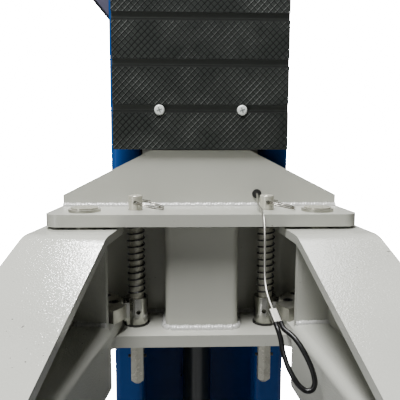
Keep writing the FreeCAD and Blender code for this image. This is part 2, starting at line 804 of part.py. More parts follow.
# Arm restraints: a sprung pin that carries a toothed collar
LATCH_RADIUS = "latch_pin / 2"
LATCH_POINT = f"({LOWER_UNDER} - latch_under)"
LATCH_HEAD = f"({PLATE_TOP} + latch_proud)"
latch_profile = [
    ("0", LATCH_POINT),
    (f"{LATCH_RADIUS} - latch_chamfer", LATCH_POINT),
    (LATCH_RADIUS, f"{LATCH_POINT} + latch_chamfer"),
    (LATCH_RADIUS, f"{LATCH_HEAD} - latch_edge"),
    (f"{LATCH_RADIUS} - latch_edge", LATCH_HEAD),
    ("0", LATCH_HEAD),
]
CROSS_HOLE = f"({LATCH_HEAD} - latch_cross)"
PULL_SAG = "(pull_ring / 2 - sqrt(pull_ring ^ 2 / 4 - latch_pin ^ 2 / 4))"
PIVOT_APART = math.hypot(
    value("pivot_half - latch_half"), value("pivot_front - latch_front")
)
JAW_TURN = math.degrees(
    math.atan2(value("pivot_front - latch_front"), value("pivot_half - latch_half"))
)


def tooth_gap_outline(reach):
    """Half widths of a tooth gap at its bottom and at a reach past the teeth's tips."""
    quarter_pitch = value("gear_tip") * math.radians(value("gear_pitch")) / 4
    narrow = quarter_pitch * value("tooth_root_share")
    return narrow, narrow + (reach + value("gear_depth")) * value("tooth_flank")


def screw_spots(height):
    """Places of the sector's screws at a height, about the pivot axis at the origin."""
    spoke = Vector(value("screw_circle"), 0, height)
    turns = [value("screw_first") + n * value("screw_pitch") for n in range(int(value("gear_screws")))]
    return [Rotation(UP, turn).multVec(spoke) for turn in turns]


def hexagon(flats, height):
    """The six corners of a hexagon about the Z axis, one of them towards the car."""
    corner = Vector(0, -flats / math.sqrt(3), height)
    return [Rotation(UP, 360 / 6 * number).multVec(corner) for number in range(6)]


def gear_screws(mirrored):
    """Socket heads sunk in the toothed sector."""
    top = value(f"{ROOT_TOP} + gear_thick")
    tall = value("screw_height")
    key = hexagon(value("screw_socket"), -value("screw_sink"))
    socket = Part.Face(Part.makePolygon(key + key[:1])).extrude(Vector(0, 0, value("screw_sink")))
    heads = []
    for spot in screw_spots(top):
        head = Part.makeCylinder(value("screw_head / 2"), tall, spot - Vector(0, 0, tall))
        heads.append(head.cut(socket.translated(spot)))
    screws = Part.makeCompound(heads)
    return screws.mirror(Vector(), Vector(1, 0, 0)) if mirrored else screws


def gear_sector(mirrored):
    """The arm's toothed sector with its stop horn, about the pivot axis at the origin."""
    foot, thick = value(ROOT_TOP), value("gear_thick")
    low, high = value("gear_low"), value("gear_high")
    bottom = Vector(0, 0, foot)
    sector = Part.makeCylinder(value("gear_tip"), thick, bottom, UP, high - low)
    sector.rotate(Vector(), UP, low)
    horn = Part.makeCylinder(value("horn_radius"), thick, bottom, UP, value("horn_end") - low)
    horn.rotate(Vector(), UP, low)
    sector = sector.fuse(horn).cut(Part.makeCylinder(value("gear_bore"), thick, bottom))
    narrow, wide = tooth_gap_outline(PAST)
    root, tip = value("gear_tip - gear_depth"), value("gear_tip") + PAST
    spots = [(root, -narrow), (tip, -wide), (tip, wide), (root, narrow)]
    wire = Part.makePolygon([Vector(x, y, foot) for x, y in spots + spots[:1]])
    gap = Part.Face(wire).extrude(Vector(0, 0, thick))
    for number in range(int(value("gear_teeth"))):
        turned = gap.copy()
        turned.rotate(Vector(), UP, value("gear_first") + number * value("gear_pitch"))
        sector = sector.cut(turned)
    sink = value("screw_height + screw_room")
    for spot in screw_spots(foot + thick - sink):
        sector = sector.cut(Part.makeCylinder(value("screw_head / 2 + screw_room"), sink, spot))
    if mirrored:
        sector = sector.mirror(Vector(), Vector(1, 0, 0))
    return sector.removeSplitter()


def collar(mirrored):
    """The restraint's collar about its pin at the origin, jaw towards the pivot at +X."""
    foot, tall = value(COLLAR_FOOT), value("collar_height")
    bottom = Vector(0, 0, foot)
    body = Part.makeCylinder(value("collar_outside / 2"), tall, bottom)
    jaw_face = PIVOT_APART - value("gear_tip") - value("tooth_gap")
    width = value("jaw_width")
    jaw = Part.makeBox(
        PIVOT_APART / 2, width, tall - value("jaw_drop"), Vector(0, -width / 2, foot)
    )
    reach = Part.makeCylinder(PIVOT_APART - jaw_face, tall, Vector(PIVOT_APART, 0, foot))
    set_back = Part.makeCylinder(
        PIVOT_APART - jaw_face + value("jaw_relief"), value("jaw_foot"), Vector(PIVOT_APART, 0, foot)
    )
    body = body.fuse(jaw.cut(reach).cut(set_back))
    tooth = value("gear_depth") - value("tooth_gap")
    narrow, wide = tooth_gap_outline(0)
    for number in (-1, 0, 1):
        angle = 180 + number * value("gear_pitch")
        rim = PIVOT_APART - jaw_face
        start, end = rim - PAST, rim + tooth
        spots = [(start, -wide), (end, -narrow), (end, narrow), (start, wide)]
        wire = Part.makePolygon([Vector(x, y, foot) for x, y in spots + spots[:1]])
        notch = Part.Face(wire).extrude(Vector(0, 0, tall))
        notch.rotate(Vector(), UP, angle)
        notch.translate(Vector(PIVOT_APART, 0, 0))
        body = body.cut(notch)
    body = body.cut(Part.makeCylinder(value("latch_pin / 2 + collar_fit"), tall, bottom))
    set_pin = Part.makeCylinder(
        value("collar_pin / 2"),
        value("collar_outside"),
        Vector(0, 0, foot + tall / 2),
        Vector(0, -1, 0),
    )
    body = body.cut(set_pin)
    body.rotate(Vector(), UP, -JAW_TURN)
    if mirrored:
        body = body.mirror(Vector(), Vector(1, 0, 0))
    return body.removeSplitter()


def spring(height):
    """A coil spring on the Z axis, ruled between many-sided sections of its wire."""
    wire, radius = value("spring_wire"), value("spring_mean / 2")
    steps_per_turn, sides = int(value("spring_steps")), int(value("spring_sides"))
    rise = height - wire - 2 * value("spring_room")
    turns = rise / value("spring_pitch")
    steps = round(turns * steps_per_turn)
    sections = []
    for number in range(steps + 1):
        angle = math.tau * turns * number / steps
        out = Vector(math.cos(angle), math.sin(angle), 0)
        level = Vector(0, 0, wire / 2 + value("spring_room") + rise * number / steps)
        spots = []
        for corner in range(sides):
            round_wire = math.tau * (corner + 0.5) / sides
            spoke = out * math.cos(round_wire) + UP * math.sin(round_wire)
            spots.append(out * radius + level + spoke * (wire / 2))
        sections.append(Part.makePolygon(spots + spots[:1]))
    return Part.makeLoft(sections, True, True)


def placed_shape(label, shape, across, front, angle):
    """A piece from Part's own functions, with its Placement set after its Shape."""
    piece = doc.addObject("Part::Feature", label)
    piece.Label = label
    piece.Shape = shape
    spot = Vector(value(across), value(front), 0)
    piece.Placement = FreeCAD.Placement(spot, Rotation(UP, angle)) * shape.Placement
    NODES.append(piece)
    return piece


def pull_ring():
    """A wire ring that hangs in the cross hole and rests its far side on the hinge plate."""
    half_sag = value(PULL_SAG) / 2
    drop = value(f"{CROSS_HOLE} - {PLATE_TOP} - pull_wire / 2 - pull_rest")
    tilt = math.degrees(math.asin(drop / (value("pull_ring") - half_sag)))
    ring = Part.makeTorus(value("pull_ring / 2"), value("pull_wire / 2"))
    ring.translate(Vector(value("pull_ring / 2") - half_sag, 0, 0))
    ring.rotate(Vector(), Vector(0, 1, 0), tilt)
    ring.translate(Vector(0, 0, value(CROSS_HOLE)))
    return ring


def mill_flats(latch):
    """Six flats on the pin from its point up to the collar, an edge towards the car."""
    around = sketch_on(latch, "XY_Plane", LATCH_POINT)
    circle(around, ("0", "0"), "2 * latch_pin")
    side, half_side = "latch_flats / sqrt(3)", "latch_flats / sqrt(12)"
    half = [("0", f"-{side}"), ("latch_flats / 2", f"-{half_side}"), ("latch_flats / 2", half_side)]
    outline(around, half + [(f"-({x})", f"-({y})") for x, y in half])
    flats = latch.newObject("PartDesign::Pocket", "Flats")
    flats.Profile = around
    flats.Reversed = True
    drive(flats, "Length", f"{COLLAR_FOOT} - {LATCH_POINT}")
    doc.recompute()


STOP_HEIGHT = f"({LOWER_UNDER} - stop_drop)"
for side, sign in SIDES.items():
    across, front = f"{sign}latch_half", "-latch_front"
    latch = turned_piece(f"restraint_pin_{side}", latch_profile, across, front)
    cross = sketch_on(latch, "XZ_Plane", "0")
    circle(cross, ("0", CROSS_HOLE), f"{PULL_SAG} + pull_wire + 2 * pull_rest")
    cut_through(latch, cross)
    mill_flats(latch)
    stop_hole = sketch_on(latch, "YZ_Plane", "0")
    circle(stop_hole, ("0", STOP_HEIGHT), "stop_pin + 2 * stop_fit")
    cut_through(latch, stop_hole)
    stop_length = value("stop_length")
    stop = Part.makeCylinder(
        value("stop_pin / 2"),
        stop_length,
        Vector(-stop_length / 2, 0, value(STOP_HEIGHT)),
        Vector(1, 0, 0),
    )
    placed_shape(f"stop_pin_{side}", stop, across, front, 0)
    placed_shape(f"restraint_collar_{side}", collar(side == "left"), across, front, 0)
    coil = spring(value(f"{PLATE_UNDER} - {COLLAR_TOP}"))
    coil.translate(Vector(0, 0, value(COLLAR_TOP)))
    placed_shape(f"restraint_spring_{side}", coil, across, front, 0)
    placed_shape(f"pull_ring_{side}", pull_ring(), across, front, 0)

# Arms, each drawn with its pivot on the origin and pointing to -Y
ARM_HALF = "arm_width / 2"
SLOPE_END = f"(arm_bend + ({ARM_TOP} - {TUBE_TOP}) / tan(arm_slope * 1deg))"
INNER_BEND = "(arm_bend - arm_plate * tan(arm_slope * 0.5deg))"
PLATE_REST = f"({ARM_TOP} - arm_plate)"
LANDING = f"({SLOPE_END} - arm_plate / sin(arm_slope * 1deg))"
WALL_HALF = f"({ARM_HALF} - wall_inset)"
arm_angles = {"left": "-left_angle", "right": "right_angle"}


def under_bend(middle, run):
    """The edge where the top plate's underside turns into its slope."""
    at_bend = abs(middle.y + value(INNER_BEND)) < NEAR
    return abs(run.x) > ALONG and at_bend and middle.z > value(TUBE_TOP) + NEAR


def on_arm(body, side):
    place(body, f"{SIDES[side]}pivot_half", "-pivot_front", arm_angles[side])
    doc.recompute()


def box_tube(label, half, back, front, foot, height, wall, corner, closed):
    """A hollow box section along Y, open in front, with its back end shut if closed."""
    body = node(label)
    section = sketch_on(body, "XZ_Plane", back)
    outline(section, rectangle(f"-({half})", half, foot, f"{foot} + {height}"))
    pad(body, section, f"{front} - {back}")
    soften(body, corner, lambda middle, run: abs(run.y) > ALONG)
    hollow_section = sketch_on(body, "XZ_Plane", front)
    inside, floor, roof = f"({half} - {wall})", f"{foot} + {wall}", f"{foot} + {height} - {wall}"
    outline(hollow_section, rectangle(f"-{inside}", inside, floor, roof))
    bore = body.newObject("PartDesign::Pocket", "Bore")
    bore.Profile = hollow_section
    drive(bore, "Length", f"{front} - {back} - {wall if closed else '0'}")
    doc.recompute()
    return body


for side in SIDES:
    root = plate(
        f"arm_root_{side}",
        rectangle("-root_half", "root_half", "-tube_start", "root_half"),
        ROOT_UNDER,
        "root_thick",
    )
    soften(
        root,
        "root_half - end_flat",
        lambda middle, run: upright(run) and middle.y > 0,
    )
    sleeve = sketch_on(root, "XY_Plane", ROOT_TOP)
    circle(sleeve, ("0", "0"), "sleeve_outside")
    pad(root, sleeve, f"{PLATE_REST} - {ROOT_TOP}")
    drill(root, [("0", "0")], PIN_HOLE)
    on_arm(root, side)

    top = node(f"arm_top_plate_{side}")
    bend = sketch_on(top, "YZ_Plane", f"-{ARM_HALF}")
    outline(
        bend,
        [
            (ARM_HALF, ARM_TOP),
            ("-arm_bend", ARM_TOP),
            (f"-{SLOPE_END}", TUBE_TOP),
            (f"-{SLOPE_END} + arm_plate / sin(arm_slope * 1deg)", TUBE_TOP),
            (f"-{INNER_BEND}", PLATE_REST),
            (ARM_HALF, PLATE_REST),
        ],
    )
    pad(top, bend, "arm_width")
    bend_line = -value("arm_bend")
    soften(
        top,
        "arm_bend_radius",
        lambda middle, run: abs(run.x) > ALONG and abs(middle.y - bend_line) < NEAR,
    )
    soften(top, "arm_bend_radius - arm_plate", under_bend)
    soften(
        top,
        f"{ARM_HALF} - end_flat",
        lambda middle, run: upright(run) and middle.y > 0,
    )
    drill(top, [("0", "0")], PIN_HOLE)
    on_arm(top, side)

    stiffener = node(f"arm_stiffener_{side}")
    web_sketch = sketch_on(stiffener, "YZ_Plane", "-stiffener / 2")
    outline(
        web_sketch,
        [
            ("-tube_start", TUBE_TOP),
            (f"-{LANDING}", TUBE_TOP),
            (f"-{INNER_BEND}", PLATE_REST),
            ("-tube_start", PLATE_REST),
        ],
    )
    pad(stiffener, web_sketch, "stiffener")
    soften(stiffener, "arm_bend_radius - arm_plate", under_bend)
    wall_sketch = sketch_on(stiffener, "XZ_Plane", "tube_start - stiffener")
    outline(wall_sketch, rectangle(f"-{WALL_HALF}", WALL_HALF, ROOT_TOP, PLATE_REST))
    pad(stiffener, wall_sketch, "stiffener")
    on_arm(stiffener, side)

    tube = box_tube(
        f"arm_tube_{side}",
        ARM_HALF,
        "tube_start",
        "(tube_start + tube_length)",
        f"({TUBE_TOP} - tube_height)",
        "tube_height",
        "tube_wall",
        "tube_corner",
        True,
    )
    on_arm(tube, side)

    angle = value(arm_angles[side])
    for label, maker in (("arm_gear", gear_sector), ("gear_screws", gear_screws)):
        shape = maker(side == "right")
        across = f"{SIDES[side]}pivot_half"
        placed_shape(f"{label}_{side}", shape, across, "-pivot_front", angle)

    extension = box_tube(
        f"extension_tube_{side}",
        SOCKET_HALF,
        "extension_start",
        "extension_end",
        SOCKET_UNDER,
        SOCKET_HEIGHT,
        "extension_wall",
        "(tube_corner - tube_wall)",
        False,
    )
    on_arm(extension, side)

    socket = plate(
        f"pad_socket_{side}",
        rectangle(
            f"-{SOCKET_HALF}", SOCKET_HALF, f"-extension_end - 2 * {SOCKET_HALF}", "-extension_end"
        ),
        SOCKET_UNDER,
        SOCKET_HEIGHT,
    )
    socket_front = -value("extension_end") - NEAR
    soften(
        socket,
        f"{SOCKET_HALF} - end_flat",
        lambda middle, run: upright(run) and middle.y < socket_front,
    )
    drill(socket, [("0", f"-{SOCKET_MIDDLE}")], "socket_bore")
    on_arm(socket, side)

    pad_under = f"({SOCKET_UNDER} + {SOCKET_HEIGHT} + pad_lift)"
    stem = node(f"pad_stem_{side}")
    stem_sketch = sketch_on(stem, "XY_Plane", f"{SOCKET_UNDER} + stem_foot")
    circle(stem_sketch, ("0", f"-{SOCKET_MIDDLE}"), "socket_bore - 2 * stem_fit")
    pad(stem, stem_sketch, f"{pad_under} - {SOCKET_UNDER} - stem_foot")
    disc_sketch = sketch_on(stem, "XY_Plane", pad_under)
    circle(disc_sketch, ("0", f"-{SOCKET_MIDDLE}"), "pad_diameter")
    pad(stem, disc_sketch, "pad_plate")
    on_arm(stem, side)

    rubber = node(f"pad_rubber_{side}")
    rubber_sketch = sketch_on(rubber, "XY_Plane", f"{pad_under} + pad_plate")
    circle(rubber_sketch, ("0", f"-{SOCKET_MIDDLE}"), "pad_diameter")
    pad(rubber, rubber_sketch, "pad_rubber")
    on_arm(rubber, side)

# Release cable: a grommet in the gusset, a stiff wire cable, its crimp and its sleeved loop
CABLE_X, CABLE_Z = value("cable_hole_x"), value(CABLE_SPOT[1])
gusset_face = value(f"{FACE} - gusset_thick")
grommet_lip = value("grommet_lip")
grommet = Part.makeCylinder(
    value("cable_hole / 2"),
    value("gusset_thick"),
    Vector(CABLE_X, gusset_face, CABLE_Z),
    Vector(0, 1, 0),
).fuse(
    Part.makeCylinder(
        value("grommet_flange / 2"),
        grommet_lip,
        Vector(CABLE_X, gusset_face - grommet_lip, CABLE_Z),
        Vector(0, 1, 0),
    )
)
placed_shape("cable_grommet", grommet.removeSplitter(), "0", "0", 0)

BEND_SHARE = 0.45
CABLE_ROUTE = [
    (92.0, -40.0, 1019.5),
    (90.5, -60.0, 1019.0),
    (86.0, -84.0, 1013.0),
    (85.5, -112.0, 1008.5),
    (86.0, -136.0, 1007.0),
    (86.0, -154.0, 999.0),
    (85.0, -168.0, 978.0),
    (83.5, -180.0, 949.0),
    (81.5, -192.0, 922.0),
    (82.5, -212.0, 902.0),
    (86.3, -232.5, 890.9),
]
LOOP_ROUTE = [
    (86.3, -251.2, 880.8),
    (87.8, -259.0, 876.6),
    (90.4, -266.0, 867.2),
    (91.4, -274.0, 855.3),
    (93.8, -284.0, 844.7),
    (98.4, -294.0, 834.5),
    (105.0, -302.0, 824.8),
    (113.3, -307.0, 819.9),
    (120.5, -308.0, 822.1),
    (124.3, -304.0, 829.1),
    (122.7, -298.0, 839.6),
    (118.6, -290.0, 850.7),
    (112.8, -281.0, 861.8),
    (105.4, -270.5, 871.2),
    (94.8, -258.9, 876.7),
    (93.1, -250.2, 881.4),
]


def bent_tube(label, route, diameter):
    """A round tube along straight runs joined by tangent arcs."""
    spots = [Vector(*spot) for spot in route]
    edges, radii, last = [], [], spots[0]
    for before, here, after in zip(spots, spots[1:], spots[2:]):
        into, out = here - before, after - here
        half_turn = into.getAngle(out) / 2
        cut_back = BEND_SHARE * min(into.Length, out.Length)
        into.normalize()
        out.normalize()
        radius = cut_back / math.tan(half_turn)
        start, end = here - into * cut_back, here + out * cut_back
        inward = (out - into).normalize()
        middle = here + inward * (radius / math.cos(half_turn) - radius)
        edges += [Part.LineSegment(last, start).toShape(), Part.Arc(start, middle, end).toShape()]
        radii.append(radius)
        last = end
    edges.append(Part.LineSegment(last, spots[-1]).toShape())
    path = Part.Wire(edges)
    section = Part.Wire(Part.makeCircle(diameter / 2, spots[0], spots[1] - spots[0]))
    tube = path.makePipeShell([section], True, False)
    share = tube.Volume / (math.pi * diameter**2 / 4 * path.Length)
    print(f"{label}: {path.Length:.1f} long, {share:.3f} of its volume, tightest bend {min(radii):.1f}")
    return tube


def crimp_sleeve(start, run, across):
    """An oval sleeve that starts at a point and holds both ends of the loop."""
    radius = value("crimp_thick / 2")
    half = value("crimp_width / 2") - radius
    ends = [Vector(-half, 0, 0), Vector(half, 0, 0)]
    up = Vector(0, radius, 0)
    outline_edges = [
        Part.LineSegment(ends[0] + up, ends[1] + up).toShape(),
        Part.Arc(ends[1] + up, ends[1] + Vector(radius, 0, 0), ends[1] - up).toShape(),
        Part.LineSegment(ends[1] - up, ends[0] - up).toShape(),
        Part.Arc(ends[0] - up, ends[0] - Vector(radius, 0, 0), ends[0] + up).toShape(),
    ]
    sleeve = Part.Face(Part.Wire(outline_edges)).extrude(Vector(0, 0, value("crimp_length")))
    sleeve.Placement = FreeCAD.Placement(start, Rotation(across, Vector(), run, "ZXY"))
    return sleeve


cable = bent_tube("release_cable", CABLE_ROUTE, value("cable_diameter"))
placed_shape("release_cable", cable, "0", "0", 0)
cable_end = Vector(*CABLE_ROUTE[-1])
loop_start, loop_end = Vector(*LOOP_ROUTE[0]), Vector(*LOOP_ROUTE[-1])
cable_run = (cable_end - Vector(*CABLE_ROUTE[-2])).normalize()
sleeve = crimp_sleeve(cable_end, cable_run, loop_end - loop_start)
placed_shape("release_crimp", sleeve, "0", "0", 0)
loop = bent_tube("release_loop", LOOP_ROUTE, value("loop_diameter"))
placed_shape("release_loop", loop, "0", "0", 0)

doc.recompute()
for thing in doc.Objects:
    if {"Invalid", "Error"} & set(thing.State):
        raise RuntimeError(f"{thing.Label}: {thing.State}")
os.makedirs("parts", exist_ok=True)
for piece in NODES:
    if piece.Shape.isNull() or not piece.Shape.isValid():
        raise RuntimeError(f"{piece.Label} has no valid shape")
    piece.Shape.exportStep(f"parts/{piece.Label}.step")
print(len(NODES), "pieces written")
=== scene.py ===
# %% [markdown]
# A post of a two post car lift, dressed for its picture.
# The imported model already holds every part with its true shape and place.
# This lesson gives those parts their paint, rubber and metal. It adds what the model
# leaves out, the weld beads and the bumper's screws, and it puts finer shapes in place of
# the model's plain springs, pull rings and cable.

# %% Load the model
import json
import math

import bmesh
import bpy
from mathutils import Matrix, Vector


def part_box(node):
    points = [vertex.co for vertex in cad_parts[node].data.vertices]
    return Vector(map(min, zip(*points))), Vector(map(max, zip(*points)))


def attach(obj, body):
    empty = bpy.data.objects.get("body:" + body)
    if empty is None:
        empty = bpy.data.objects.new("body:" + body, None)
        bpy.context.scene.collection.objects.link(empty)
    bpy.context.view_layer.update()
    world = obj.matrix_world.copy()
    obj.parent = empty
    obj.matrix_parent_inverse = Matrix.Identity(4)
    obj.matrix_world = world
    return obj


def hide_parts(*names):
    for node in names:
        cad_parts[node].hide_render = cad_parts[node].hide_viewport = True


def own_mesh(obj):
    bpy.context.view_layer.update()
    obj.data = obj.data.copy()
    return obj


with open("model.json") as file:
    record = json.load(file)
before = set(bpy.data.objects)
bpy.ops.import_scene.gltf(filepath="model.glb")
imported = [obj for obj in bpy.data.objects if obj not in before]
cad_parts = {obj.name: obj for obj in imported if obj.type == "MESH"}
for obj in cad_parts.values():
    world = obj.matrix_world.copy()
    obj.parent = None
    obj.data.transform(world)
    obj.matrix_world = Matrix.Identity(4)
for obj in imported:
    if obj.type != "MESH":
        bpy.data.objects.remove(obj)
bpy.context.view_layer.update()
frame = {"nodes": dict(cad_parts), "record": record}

MM = 0.001
nodes = frame["nodes"]
print("parts in the model:", len(nodes))

# %% [markdown]
# The camera stands in front of the carriage at about chest height and looks slightly down.
# Its place was worked out from the picture's vanishing lines and known parts, so it is
# written as a position and two angles, which are easy to read and to adjust.

# %% Camera
CAMERA_PLACE = Vector((-29.6, -847.6, 1111.4)) * MM
LOOK_DOWN = math.radians(7.19)
LOOK_RIGHT = math.radians(2.04)
CAMERA_ROLL = math.radians(0.16)
camera_data = bpy.data.cameras.new("camera")
camera_data.lens = 45
camera_data.sensor_width = 36
camera_data.clip_start = 0.05
camera_data.clip_end = 60
camera = bpy.data.objects.new("camera", camera_data)
aim = Matrix.Rotation(-LOOK_RIGHT, 4, "Z") @ Matrix.Rotation(math.pi / 2 - LOOK_DOWN, 4, "X")
camera.matrix_world = Matrix.Translation(CAMERA_PLACE) @ aim @ Matrix.Rotation(CAMERA_ROLL, 4, "Z")
bpy.context.collection.objects.link(camera)
bpy.context.scene.camera = camera
print("camera looks", round(math.degrees(LOOK_DOWN), 2), "degrees down")

# %% [markdown]
# The release cable is a short stiff wire rope that leaves the gusset through a grommet,
# passes over the hinge plate and hangs down to a crimped loop.
# A wire rope bends in one smooth line, so it is a NURBS curve. Its control points pull the
# line towards them without a kink, and only the first and last lie on it.
# The order is set after the points exist: set earlier it would fall back to straight runs.
# Its finish is made further on, and the cable gets it there.

# %% Release cable
CABLE_ROUTE = [
    (92.0, -40.0, 1019.5),
    (90.5, -60.0, 1019.0),
    (86.0, -84.0, 1013.0),
    (85.5, -112.0, 1008.5),
    (86.0, -136.0, 1007.0),
    (86.0, -154.0, 999.0),
    (85.0, -168.0, 978.0),
    (83.5, -180.0, 949.0),
    (81.5, -192.0, 922.0),
    (82.5, -212.0, 902.0),
    (86.3, -232.5, 890.9),
]
CABLE_DIAMETER = 3 * MM


def rope(name, route, diameter):
    """A round cord whose line is one smooth NURBS spline."""
    line = bpy.data.curves.new(name, "CURVE")
    line.dimensions = "3D"
    line.bevel_depth = 1.0
    line.bevel_resolution = 4
    line.use_fill_caps = True
    spline = line.splines.new("NURBS")
    spline.points.add(len(route) - 1)
    for point, spot in zip(spline.points, route):
        point.co = (*(Vector(spot) * MM), 1)
        point.radius = diameter / 2
    spline.order_u = 3
    spline.use_endpoint_u = True
    spline.resolution_u = 10
    piece = bpy.data.objects.new(name, line)
    bpy.context.collection.objects.link(piece)
    return piece


cable = rope("wire_cable", CABLE_ROUTE, CABLE_DIAMETER)
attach(cable, "carriage")
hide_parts("release_cable")

# %% [markdown]
# Several finishes share an effect: sprayed paint is never quite even, it has the fine
# waviness that painters call orange peel, and a used machine has chips where it was struck.
# A node group with named sockets keeps that recipe in one place, and each paint gives it
# its own colours and amounts.

# %% A small kit for node groups


def socket_kind(value):
    """The socket type that suits a default value."""
    if isinstance(value, tuple):
        return "NodeSocketColor" if len(value) == 4 else "NodeSocketVector"
    return "NodeSocketFloat"


class Graph:
    """Adds nodes to a tree and joins them in one short call."""

    def __init__(self, tree):
        self.tree = tree

    def add(self, kind, inputs=None, **settings):
        node = self.tree.nodes.new("ShaderNode" + kind)
        for name, setting in settings.items():
            setattr(node, name, setting)
        for socket, source in (inputs or {}).items():
            if isinstance(source, bpy.types.NodeSocket):
                self.tree.links.new(source, node.inputs[socket])
            else:
                node.inputs[socket].default_value = source
        return node

    def math(self, operation, *terms):
        return self.add("Math", dict(enumerate(terms)), operation=operation).outputs[0]

    def blend(self, factor, under, over):
        node = self.add("Mix", data_type="RGBA")
        for number, source in ((0, factor), (6, under), (7, over)):
            if isinstance(source, bpy.types.NodeSocket):
                self.tree.links.new(source, node.inputs[number])
            else:
                node.inputs[number].default_value = source
        return node.outputs[2]

    def noise(self, place, scale, detail=2.0, rough=0.5):
        settings = {"Vector": place, "Scale": scale, "Detail": detail, "Roughness": rough}
        return self.add("TexNoise", settings).outputs["Fac"]

    def band(self, source, low, high):
        """0 below low, 1 above high and an even slope between."""
        settings = {"Value": source, "From Min": low, "From Max": high}
        return self.add("MapRange", settings).outputs["Result"]

    def stretched(self, place, scale):
        return self.add("Mapping", {"Vector": place, "Scale": scale}).outputs["Vector"]


def new_group(name, inputs, outputs):
    """An empty node group with named sockets, and the graph, inlet and outlet inside it."""
    tree = bpy.data.node_groups.new(name, "ShaderNodeTree")
    for label, default in inputs.items():
        socket = tree.interface.new_socket(label, in_out="INPUT", socket_type=socket_kind(default))
        socket.default_value = default
    for label, kind in outputs.items():
        tree.interface.new_socket(label, in_out="OUTPUT", socket_type="NodeSocket" + kind)
    graph = Graph(tree)
    inlet = tree.nodes.new("NodeGroupInput")
    outlet = tree.nodes.new("NodeGroupOutput")
    return graph, inlet.outputs, outlet.inputs


# %% [markdown]
# Sprayed paint: slow changes of tone, orange peel for the bump, and chips down to the
# primer where a noise passes a threshold. Thresholds make islands, which is how chips
# look. Faint long scuffs come from a noise that is stretched along one direction.
# The tone only goes darker than the paint, because mixing white in would grey the blacks.

# %% Group: sprayed paint
BLACK = (0.0, 0.0, 0.0, 1.0)
SCUFF_TONE = (0.72, 0.72, 0.70, 1.0)
TONE_DROP = 0.12
CHIP_LEVEL = 0.86
CHIP_REACH = 0.2
PATCH_WEIGHT = 0.12
CHIP_EDGE = 0.02
SCUFF_STRETCH = (60.0, 60.0, 9.0)
SCUFF_WEIGHT = 0.35
CHIP_ROUGHNESS = 0.3
CHIP_DEPTH = 1.5
graph, given, result = new_group(
    "sprayed paint",
    {
        "Place": (0.0, 0.0, 0.0),
        "Paint": (0.5, 0.5, 0.5, 1.0),
        "Chip": (0.1, 0.1, 0.1, 1.0),
        "Chip Amount": 0.3,
        "Scuff Amount": 0.3,
        "Gloss": 0.3,
        "Peel Size": 420.0,
    },
    {"Color": "Color", "Roughness": "Float", "Height": "Float"},
)
place = given["Place"]
tone = graph.band(graph.noise(place, 5.0, 3.0), 0.3, 0.7)
darker = graph.blend(TONE_DROP, given["Paint"], BLACK)
painted = graph.blend(tone, darker, given["Paint"])
speck = graph.noise(place, 150.0, 3.0, 0.6)
patch = graph.band(graph.noise(place, 9.0, 2.0), 0.45, 0.75)
reach = graph.math("MULTIPLY", given["Chip Amount"], CHIP_REACH)
chip_level = graph.math("SUBTRACT", CHIP_LEVEL, reach)
chip_start = graph.math("ADD", speck, graph.math("MULTIPLY", patch, PATCH_WEIGHT))
chip = graph.band(graph.math("SUBTRACT", chip_start, chip_level), 0.0, CHIP_EDGE)
long_scuff = graph.noise(graph.stretched(place, SCUFF_STRETCH), 3.0, 4.0, 0.7)
scuff = graph.math("MULTIPLY", graph.band(long_scuff, 0.62, 0.78), given["Scuff Amount"])
worn = graph.blend(graph.math("MULTIPLY", scuff, SCUFF_WEIGHT), painted, SCUFF_TONE)
graph.tree.links.new(graph.blend(chip, worn, given["Chip"]), result["Color"])
rougher = graph.math("ADD", given["Gloss"], graph.math("MULTIPLY", scuff, SCUFF_WEIGHT))
rougher = graph.math("ADD", rougher, graph.math("MULTIPLY", chip, CHIP_ROUGHNESS))
graph.tree.links.new(rougher, result["Roughness"])
peel = graph.noise(place, given["Peel Size"], 2.0, 0.5)
height = graph.math("SUBTRACT", peel, graph.math("MULTIPLY", chip, CHIP_DEPTH))
graph.tree.links.new(height, result["Height"])
print("sprayed paint has", len(graph.tree.nodes), "nodes")

# %% [markdown]
# Bare and plated steel shows fine tool marks and a thin uneven film.
# One noise is squeezed along the height, which leaves fine rings as turning does. Another
# stays even and breaks up the shine. Both change colour only a little.

# %% Group: worked metal
MARK_SQUEEZE = (60.0, 60.0, 1400.0)
MARK_WEIGHT = 0.25
FILM_ROUGHNESS = 0.4
graph, given, result = new_group(
    "worked metal",
    {
        "Place": (0.0, 0.0, 0.0),
        "Metal": (0.7, 0.7, 0.68, 1.0),
        "Stain": (0.3, 0.29, 0.26, 1.0),
        "Stain Amount": 0.4,
        "Polish": 0.3,
    },
    {"Color": "Color", "Roughness": "Float", "Height": "Float"},
)
place = given["Place"]
marks = graph.noise(graph.stretched(place, MARK_SQUEEZE), 1.0, 3.0, 0.6)
film = graph.band(graph.noise(place, 70.0, 4.0, 0.65), 0.45, 0.72)
stained = graph.math("MULTIPLY", film, given["Stain Amount"])
toned = graph.blend(graph.math("MULTIPLY", marks, MARK_WEIGHT), given["Metal"], given["Stain"])
graph.tree.links.new(graph.blend(stained, toned, given["Stain"]), result["Color"])
shine = graph.math("ADD", given["Polish"], graph.math("MULTIPLY", stained, FILM_ROUGHNESS))
graph.tree.links.new(shine, result["Roughness"])
graph.tree.links.new(marks, result["Height"])
print("worked metal has", len(graph.tree.nodes), "nodes")
